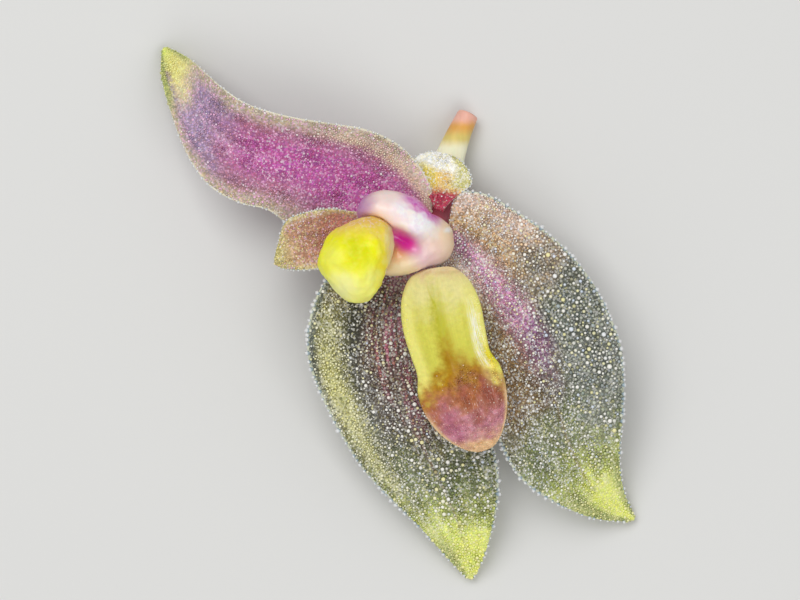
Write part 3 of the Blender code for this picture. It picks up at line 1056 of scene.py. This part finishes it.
def paint_lip(paint, tones):
    """Yellow-green above, an amber band across the middle, and red-brown, mauve and peach on the end."""
    along, across, _ = paint.place()
    fine = paint.noise(paint.where(), 16000, 2.0)
    ragged = along + paint.noise(paint.where(), 6000).spread(-0.1, 0.1)
    shifted = across + fine.spread(-0.1, 0.1)
    paint.tone = paint.ramp(ragged, [
        (0.02, tones.lip_hinge), (0.14, tones.lip_yellow), (0.34, tones.lip_green), (0.48, tones.lip_green),
        (0.57, tones.lip_amber), (0.66, tones.lip_orange), (0.8, tones.lip_mauve), (0.93, tones.lip_peach),
    ])
    # Each mark: its colour, where it lies and how far it reaches along, the same across, and its strength.
    marks = [
        (tones.lip_groove, 0.3, 0.24, 0.08, 0.26, 0.9),
        (tones.lip_amber, 0.46, 0.16, 0.08, 0.34, 1.0),
        (tones.lip_amber, 0.53, 0.12, -0.05, 0.6, 1.0),
        (tones.lip_red, 0.66, 0.14, -0.6, 0.5, 1.0),
        (tones.lip_red, 0.64, 0.1, 0.0, 0.34, 0.8),
        (tones.lip_red, 0.76, 0.12, -0.15, 0.3, 0.7),
        (tones.lip_plum, 0.74, 0.17, 0.55, 0.5, 0.8),
        (tones.lip_plum, 0.84, 0.1, -0.4, 0.5, 0.4),
    ]
    for over, u, reach_u, v, reach_v, strength in marks:
        paint.lay((over, ragged.band(u, reach_u) * shifted.band(v, reach_v) * strength))
    seam = (along * 1.8 + across).band(0.53, 0.05) * along.band(0.21, 0.12)
    limit = (ragged + across.mask(-0.2, 0.2).spread(0.0, 0.06)).mask(0.7, 0.58)
    # The crest is a painted highlight along the raised side, broken into streaks.
    crest = shifted.band(-0.76, 0.2) * (along.mask(0.18, 0.36) * ragged.mask(0.6, 0.5))
    rim = abs(across).mask(0.87, 0.99) * along.mask(0.62, 0.75)
    paint.lay(
        (tones.lip_groove, seam * 0.6),
        (tones.lip_lemon, abs(across - 0.03).mask(0.5, 0.85) * (along.mask(0.08, 0.3) * limit)),
        (tones.lip_pale, crest * paint.streaks(14.0, 36.0).mask(0.4, 0.58)),
        (tones.lip_gold, across.mask(-0.78, -0.9) * along.band(0.52, 0.13)),
        (tones.lip_peach, rim.maths("MAXIMUM", ragged.mask(0.92, 1.0))),
    )
    paint.shade((along.mask(0.6, 0.45) * paint.streaks(2.0, 26.0, 3.0).mask(0.3, 0.7)).spread(1.02, 0.97))
    flecks = paint.streaks(36.0, 44.0).mask(0.58, 0.7) * along.mask(0.6, 0.7)
    paint.lay((tones.lip_fleck, flecks * 0.5))
    clouds = paint.mix(CLOUD_LIGHT, CLOUD_DARK, paint.noise(paint.where(), 11000).mask(0.3, 0.7))
    paint.tint(clouds, along.mask(0.45, 0.6) * abs(across).mask(1.0, 0.8))
    paint.shade(fine.spread(0.8, 1.08))


def lip_skin(tones):
    paint = Paint("lip_skin", 0.4)
    paint_lip(paint, tones)
    paint.set(Base_Color=paint.tone, Specular_IOR_Level=0.25)
    paint.flesh(0.2, 0.08 * MM)
    paint.bump(paint.noise(paint.where(), 20000, 2.0), 0.35, 0.01 * MM)
    return paint.material


def lip_bead_skin(tones):
    paint = Paint("lip_bead_skin", 0.3)
    paint_lip(paint, tones)
    rise, glint, tint = paint.split(paint.attribute("cell"))
    paint.shade(tint.spread(0.9, 1.35))
    # Painted highlights on the crowns of a few of the lip's papillae.
    paint.lay((hue("f8e8dc"), glint**7.0 * rise.mask(0.5, 0.9) * 0.55))
    paint.set(Base_Color=paint.tone, Specular_IOR_Level=0.25)
    return paint.material


def column_skin(tones):
    paint = Paint("column_skin", 0.36)
    where = paint.where()
    east, _, _ = paint.split(where)
    patch = paint.noise(where, 3000)
    wander = patch.spread(-0.12 * MM, 0.12 * MM)

    def spots(*places):
        """Lays a colour on each spot: its x and y, its reach and core in millimetres, and its strength."""
        for over, x, y, reach, core, strength in places:
            paint.lay((over, paint.near(x, y, reach, core, wander) * strength))

    paint.tone = tones.column_peach
    spots(
        (tones.column_rose, -0.1, 1.8, 0.6, 0.1, 1.0),
        (tones.column_blush, 0.42, 0.8, 0.5, 0.0, 0.9),
        (tones.column_cream, 0.0, 0.7, 0.45, 0.1, 1.0),
        # Partly the ridge's own white, partly painted highlight.
        (tones.column_white, 0.36, 1.44, 0.4, 0.08, 1.0),
        (tones.column_white, 0.08, 1.62, 0.26, 0.0, 0.9),
        (tones.column_white, 0.18, 1.74, 0.16, 0.0, 0.8),
        (tones.column_rose, -0.05, 1.42, 0.2, 0.0, 0.7),
        # A painted highlight on the right edge of the column's foot.
        (tones.column_white, 0.79, 1.3, 0.1, 0.0, 1.0),
    )
    facing = paint.value("NewGeometry", {}, "Normal")
    turned = paint.value("VectorMath", {0: facing, 1: (0.6, 0.8, 0.0)}, 1, operation="DOT_PRODUCT")
    mottle = paint.noise(where, 13000, 2.0).mask(0.6, 0.4) * paint.near(0.26, 1.5, 0.55, 0.1, wander)
    paint.lay(
        (tones.column_pink, (east + wander).mask(-0.22 * MM, -0.62 * MM)),
        (tones.column_magenta, turned.mask(0.5, 0.8) * paint.near(0.42, 1.7, 0.5, 0.2, wander)),
        (tones.column_lilac, mottle * 0.35),
    )
    spots(
        (tones.column_pink, 0.2, 1.08, 0.34, 0.0, 0.6),
        (tones.column_amber, 0.0, 0.97, 0.26, 0.0, 1.0),
    )
    middle = (STIGMA[0] * MM, STIGMA[1] * MM, 0.0)
    spun = paint.value("VectorRotate", {"Vector": where, "Center": middle, "Angle": -STIGMA_SLANT})
    from_middle = paint.value("VectorMath", {0: spun, 1: middle}, operation="SUBTRACT")
    shrunk = paint.stretched(from_middle, (1 / (STIGMA_REACH[0] * MM), 1 / (STIGMA_REACH[1] * MM), 0.0))
    far = paint.value("VectorMath", {0: shrunk}, 1, operation="LENGTH")
    paint.lay((tones.stigma, (far + patch.spread(-0.4, 0.4)).mask(1.5, 0.25)))
    paint.set(Base_Color=paint.tone, Coat_Weight=0.4, Coat_Roughness=0.12)
    paint.flesh(0.4, 0.15 * MM)
    paint.bump(paint.noise(where, 9000), 0.35, 0.012 * MM)
    return paint.material


def anther_skin(tones):
    paint = Paint("anther_skin", 0.5)
    where = paint.where()
    x, y, _ = paint.split(where)
    wander = paint.noise(where, 4000).spread(-0.15 * MM, 0.15 * MM)
    north, east = y + wander, x + wander
    paint.tone = tones.anther_pale
    paint.lay(
        (tones.anther, north.mask(0.3 * MM, 0.9 * MM)),
        (tones.anther_green, east.band(-0.66 * MM, 0.34 * MM) * north.band(0.95 * MM, 0.45 * MM)),
        (tones.anther_gold, east.mask(-0.42 * MM, -0.2 * MM)),
        (tones.anther_peach, north.mask(1.1 * MM, 1.4 * MM)),
        (tones.column_cream, east.mask(-0.26 * MM, -0.08 * MM)),
        (tones.anther_pale, paint.noise(where, 8000, 1.0).mask(0.4, 0.8) * 0.3),
        # Painted highlights: pale spots on the cap, the strongest below left.
        (tones.anther_light, paint.near(-0.84, 0.4, 0.36, 0.02, wander) * 0.9),
        (tones.anther_light, paint.near(-1.04, 0.86, 0.26, 0.02, wander) * 0.25),
        (tones.anther_light, paint.near(-0.42, 0.56, 0.2, 0.02, wander) * 0.4),
    )
    grains = paint.noise(where, 22000, 1.0).mask(0.55, 0.65) * north.mask(1.2 * MM, 1.42 * MM)
    paint.lay((tones.column_rose, grains * 0.7))
    paint.set(Base_Color=paint.tone, Specular_IOR_Level=0.25)
    paint.flesh(0.35, 0.1 * MM)
    paint.bump(paint.noise(where, 9000), 0.3, 0.012 * MM)
    return paint.material


def stalk_skin(tones):
    """Crimson where it meets the column, cream-green along it, then gold and pink towards the cut end."""
    paint = Paint("stalk_skin", 0.4)
    where = paint.where()
    _, north, _ = paint.split(where)
    place = north.mask(2.3 * MM, 3.2 * MM) + paint.noise(where, 5000).spread(-0.06, 0.06)
    fibres = paint.noise(paint.stretched(where, (9000.0, 1600.0, 9000.0)), 1.0)
    paint.tone = paint.ramp(place, [
        (0.2, tones.stalk_green), (0.5, tones.stalk_gold),
        (0.78, tones.stalk_orange), (0.95, tones.stalk_pink),
    ])
    paint.lay((tones.petal_red, north.mask(2.05 * MM, 1.8 * MM)))
    paint.shade(fibres.spread(0.82, 1.14))
    paint.set(Base_Color=paint.tone)
    paint.flesh(0.2, 0.1 * MM)
    paint.bump(fibres, 0.4, 0.012 * MM)
    return paint.material


# ---------------------------------------------------------------- reliefs and spacings


def hump(value, centre, width):
    """1 at the centre, falling off to either side like a bell."""
    return np.exp(-(((value - centre) / width) ** 2))


def between(value, start, end, soft):
    """1 from start to end, falling to 0 within soft outside them."""
    return np.clip((value - start) / soft + 1, 0, 1) * np.clip((end - value) / soft + 1, 0, 1)


def sepal_relief(along, across, side, points):
    """Faint ridges over the veins and slow waves in the tissue."""
    veins = np.cos(across * math.pi * 5) * 0.006 * MM * rounded_end(along, 0.3)
    waves = fractal(points, 0.55 * MM, 3) * 0.022 * MM * rounded_end(along, 0.2)
    return waves + veins * (side > 0)


def lip_relief(along, across, side, points):
    """A groove down the upper half, raised sides, a fold on the right shoulder and small lumps on the end."""
    groove = -0.05 * hump(across, 0.08, 0.14) * between(along, 0.16, 0.5, 0.12)
    groove -= 0.04 * hump(across, -0.1, 0.4) * between(along, 0.46, 0.56, 0.08)
    sides = 0.035 * (hump(across, 0.74, 0.14) + hump(across, -0.66, 0.13)) * between(along, 0.3, 0.55, 0.14)
    fold = -0.04 * hump(across, -0.82, 0.06) * between(along, 0.42, 0.6, 0.06)
    lumps = 0.022 * fractal(points, 0.12 * MM, 5) * np.clip((along - 0.5) / 0.2, 0, 1)
    soft = 0.015 * fractal(points, 0.4 * MM, 9)
    return (groove + sides + fold + lumps + soft) * MM * (side > 0) * rounded_end(along, 0.1)


def everywhere(value):
    """The same value at all places of a face."""
    return lambda along, across: np.full(len(along), value)


def left_rows(along, across):
    """How surely the left sepal's papillae stand in rows: nearly all of them on the side of the lip."""
    return np.clip((0.55 - across) / 0.5, 0, 1) * 0.95


def right_rows(along, across):
    """The same for the right sepal, whose lip side is the right one."""
    return np.clip((across + 0.35) / 0.3, 0, 1) * 0.8


# ---------------------------------------------------------------- operators


class ORCHID_OT_sepals(bpy.types.Operator):
    """Grows the three sepals with the papillae on their faces and margins"""

    bl_idname = "orchid.sepals"
    bl_label = "Sepals"

    def execute(self, context):
        sizes, tones = settings()

        def left_room(along, across):
            return sizes.lateral_spacing * (1 + 0.3 * left_rows(along, across))

        def right_room(along, across):
            share = np.clip(-across / 0.45, 0, 1) * np.clip((along - 0.2) / 0.22, 0, 1)
            share *= np.clip((0.92 - along) / 0.2, 0, 1)
            return sizes.lateral_spacing * (1 - share) + sizes.outer_spacing * share

        # Each sepal: its node, ribs, skin, slot, room for a papilla, rows, papilla size, swell and seed.
        plans = [
            ("dorsal_sepal", DORSAL_SEPAL_RIBS, dorsal_skin, "dorsal_sepal", everywhere(sizes.dorsal_spacing),
             everywhere(0.25), 0.6, 0, 1),
            ("lateral_sepal_left", LATERAL_SEPAL_LEFT_RIBS, left_sepal_skin, "lateral_sepals", left_room,
             left_rows, 1, 0.3, 2),
            ("lateral_sepal_right", LATERAL_SEPAL_RIGHT_RIBS, right_sepal_skin, "lateral_sepals", right_room,
             right_rows, 1, 0.2, 3),
        ]
        for node, ribs, skin, slot, room, rows, size, swell, seed in plans:
            material = skin(tones)
            blade = grow_blade(node, ribs, material, sepal_relief, segments=96, rings=150)
            rng = np.random.default_rng(seed)
            groups = [
                face_papillae(blade, 1, room, rows, rng, share=0.56, tall=size, swell=swell),
                face_papillae(blade, -1, lambda u, v: room(u, v) * 1.7, rows, rng, share=0.5),
            ]
            beads = {"spacing": sizes.margin_spacing, "radius": sizes.margin_radius * size}
            groups += [margin_papillae(blade, edge, rng, start=0.04, end=0.985, **beads) for edge in (-1, 1)]
            join_strewn(blade, groups, material)
        return {"FINISHED"}


class ORCHID_OT_petals(bpy.types.Operator):
    """Grows the two petals with their papillae"""

    bl_idname = "orchid.petals"
    bl_label = "Petals"

    def execute(self, context):
        sizes, tones = settings()
        room, rows = everywhere(sizes.petal_spacing), everywhere(0.2)
        plans = [
            ("petal_left", PETAL_LEFT_RIBS, left_petal_skin, 11),
            ("petal_right", PETAL_RIGHT_RIBS, right_petal_skin, 12),
        ]
        for node, ribs, skin, seed in plans:
            material = skin(tones)
            blade = grow_blade(node, ribs, material, sepal_relief, segments=64, rings=80)
            rng = np.random.default_rng(seed)
            groups = [face_papillae(blade, side, room, rows, rng, share=0.52, tall=0.7) for side in (1, -1)]
            beads = {"spacing": 0.06 * MM, "radius": 0.02 * MM}
            groups += [margin_papillae(blade, edge, rng, start=0.3, end=0.98, **beads) for edge in (-1, 1)]
            join_strewn(blade, groups, material)
        return {"FINISHED"}


class ORCHID_OT_lip(bpy.types.Operator):
    """Grows the fleshy lip with its channel and lumpy end"""

    bl_idname = "orchid.lip"
    bl_label = "Lip"

    def execute(self, context):
        sizes, tones = settings()
        blade = grow_blade("lip", LIP_RIBS, lip_skin(tones), lip_relief, segments=128, rings=150)
        rng = np.random.default_rng(21)

        def granular(along, across):
            end = along > 0.54 + 0.04 * np.sin(across * 9) + 0.16 * rng.random(len(along))
            return end | ((np.abs(across) > 0.8) & (along > 0.2))

        room = everywhere(sizes.lip_spacing)
        group = face_papillae(blade, 1, room, everywhere(0.3), rng, share=0.42, keep=granular)
        join_strewn(blade, [group], lip_bead_skin(tones))
        return {"FINISHED"}


class ORCHID_OT_column(bpy.types.Operator):
    """Rounds the column off round its stigma"""

    bl_idname = "orchid.column"
    bl_label = "Column"

    def execute(self, context):
        tones = settings()[1]
        obj = merged_copy("column", "column_body")
        apply_modifier(obj, "REMESH", mode="VOXEL", voxel_size=COLUMN_CUBE * MM)
        before = get_points(obj.data)
        low, high = before.min(0), before.max(0)
        apply_modifier(obj, "SMOOTH", factor=0.6, iterations=COLUMN_ROUNDS)
        points = get_points(obj.data)
        share = (points - points.min(0)) / (points.max(0) - points.min(0))
        points = low + share * (high - low)
        east, north = points[:, 0] / MM - STIGMA[0], points[:, 1] / MM - STIGMA[1]
        slant = complex(math.cos(STIGMA_SLANT), math.sin(STIGMA_SLANT))
        down = (east * slant.real + north * slant.imag) / STIGMA_REACH[0]
        aside = (north * slant.real - east * slant.imag) / STIGMA_REACH[1]
        on_top = points[:, 2] > 1.5 * MM
        points[:, 2] -= STIGMA_DEPTH * MM * np.exp(-(down**2 + aside**2)) * on_top
        push_out(obj, points, (low + high) / 2, COLUMN_RELIEF * MM * fractal(points, COLUMN_LUMP * MM, 17))
        skin_piece("column_body", column_skin(tones), "column")
        return {"FINISHED"}


class ORCHID_OT_anther_cap(bpy.types.Operator):
    """Swells the anther cap into its soft lumps"""

    bl_idname = "orchid.anther_cap"
    bl_label = "Anther Cap"

    def execute(self, context):
        tones = settings()[1]
        obj = merged_copy("anther_cap", "anther_cap_dome")
        apply_modifier(obj, "SUBSURF", levels=2, render_levels=2)
        apply_modifier(obj, "SMOOTH", factor=0.5, iterations=40)
        points = get_points(obj.data)
        large, small = (fractal(points, size * MM, seed) * height * MM for size, seed, height in CAP_LUMPS)
        push_out(obj, points, points.mean(0), large + small + CAP_SWELL * MM)
        skin_piece("anther_cap_dome", anther_skin(tones), "anther_cap")
        return {"FINISHED"}


class ORCHID_OT_stalk(bpy.types.Operator):
    """Draws the ovary and pedicel out with their ridges and cut end"""

    bl_idname = "orchid.stalk"
    bl_label = "Stalk"

    def execute(self, context):
        tones = settings()[1]
        obj = add_sphere("ovary_and_pedicel_stem", 72, 120)
        turn, angle = sphere_turns(obj)
        turn = turn / math.pi
        # The share of the sphere that is pressed flat into each end.
        end = 0.06
        along = np.clip((turn - end) / (1 - 2 * end), 0, 1)
        cap = np.clip(np.minimum(turn, 1 - turn) / end, 0, 1)
        stations = through(STALK_STATIONS, along) * MM
        ahead = through(STALK_STATIONS, np.clip(along + 0.01, 0, 1))[:, :3]
        behind = through(STALK_STATIONS, np.clip(along - 0.01, 0, 1))[:, :3]
        forward = unit(ahead - behind)
        sideways = unit(np.cross(forward, np.array([[1.0, 0.0, 0.0]])))
        upward = np.cross(sideways, forward)
        ridges = 1 + 0.05 * np.cos(6 * angle) * np.clip(1 - abs(along - 0.5) / 0.35, 0, 1)
        radius = stations[:, 3] * ridges * cap
        points = (
            stations[:, :3]
            + sideways * (np.cos(angle) * radius)[:, None]
            + upward * (np.sin(angle) * radius)[:, None]
        )
        set_points(obj.data, points)
        finish_mesh(obj)
        skin_piece("ovary_and_pedicel_stem", stalk_skin(tones), "ovary_and_pedicel")
        return {"FINISHED"}


def lamp(name, place, level):
    """A large soft lamp that lights a white surface at the flower to the given level, where 1 is white."""
    aim = Vector((0, 0, 1))
    distance = math.dist(place, aim) * MM
    data = bpy.data.lights.new(name, "AREA")
    data.energy = math.pi**2 * level * distance**2
    data.size = LAMP_WIDTH * MM
    obj = bpy.data.objects.new(name, data)
    obj.location = Vector(place) * MM
    obj.rotation_euler = (aim - Vector(place)).to_track_quat("-Z", "Y").to_euler()
    bpy.context.scene.collection.objects.link(obj)


class ORCHID_OT_stage(bpy.types.Operator):
    """Lays the floor and sets the lamps, the world and the camera"""

    bl_idname = "orchid.stage"
    bl_label = "Stage"

    def execute(self, context):
        tones = settings()[1]
        bpy.ops.mesh.primitive_plane_add(size=1.6)
        floor = context.object
        floor.name = "floor"
        paint = Paint("floor", 0.8)
        paint.set(Base_Color=tones.floor)
        floor.data.materials.append(paint.material)

        lamp("key", (-28, 36, 82), 0.52)
        lamp("fill", (30, -44, 70), 0.34)

        world = bpy.data.worlds.new("studio")
        context.scene.world = world
        world.use_nodes = True
        nodes = Nodes(world.node_tree)
        rays = nodes.add("LightPath", {}).outputs
        camera_ray, through_ray, glossy_ray = (
            Value(nodes, rays[name]) for name in ("Is Camera Ray", "Is Transmission Ray", "Is Glossy Ray")
        )
        seen = camera_ray.maths("MAXIMUM", through_ray.maths("MAXIMUM", glossy_ray))
        background = nodes.tree.nodes["Background"].inputs
        nodes.put(background["Color"], (1, 1, 1))
        nodes.put(background["Strength"], seen.spread(*WORLD_LEVELS))

        data = bpy.data.cameras.new("camera")
        data.lens = 400
        data.sensor_width = 36
        data.clip_start = 0.001
        data.clip_end = 5
        camera = bpy.data.objects.new("camera", data)
        x, y, height = CAMERA_AIM
        away = VIEW_WIDTH * MM * data.lens / data.sensor_width
        camera.location = (x * MM, y * MM, height * MM + away)
        context.scene.collection.objects.link(camera)
        context.scene.camera = camera
        context.scene.view_settings.view_transform = "Standard"
        return {"FINISHED"}


class ORCHID_PT_panel(bpy.types.Panel):
    """Lists the flower's pieces"""

    bl_label = "Orchid"
    bl_idname = "ORCHID_PT_panel"
    bl_space_type = "VIEW_3D"
    bl_region_type = "UI"
    bl_category = "Orchid"

    def draw(self, context):
        for operator in OPERATORS:
            self.layout.operator(operator.bl_idname)


OPERATORS = (
    ORCHID_OT_sepals,
    ORCHID_OT_petals,
    ORCHID_OT_lip,
    ORCHID_OT_column,
    ORCHID_OT_anther_cap,
    ORCHID_OT_stalk,
    ORCHID_OT_stage,
)
CLASSES = (OrchidSizes, OrchidColours, *OPERATORS, ORCHID_PT_panel)


def register():
    for cls in CLASSES:
        bpy.utils.register_class(cls)
    bpy.types.Scene.orchid_sizes = bpy.props.PointerProperty(type=OrchidSizes)
    bpy.types.Scene.orchid_colours = bpy.props.PointerProperty(type=OrchidColours)


def unregister():
    del bpy.types.Scene.orchid_colours
    del bpy.types.Scene.orchid_sizes
    for cls in reversed(CLASSES):
        bpy.utils.unregister_class(cls)


def main():
    register()
    bpy.ops.orchid.sepals()
    bpy.ops.orchid.petals()
    bpy.ops.orchid.lip()
    bpy.ops.orchid.column()
    bpy.ops.orchid.anther_cap()
    bpy.ops.orchid.stalk()
    bpy.ops.orchid.stage()


if __name__ == "__main__":
    main()
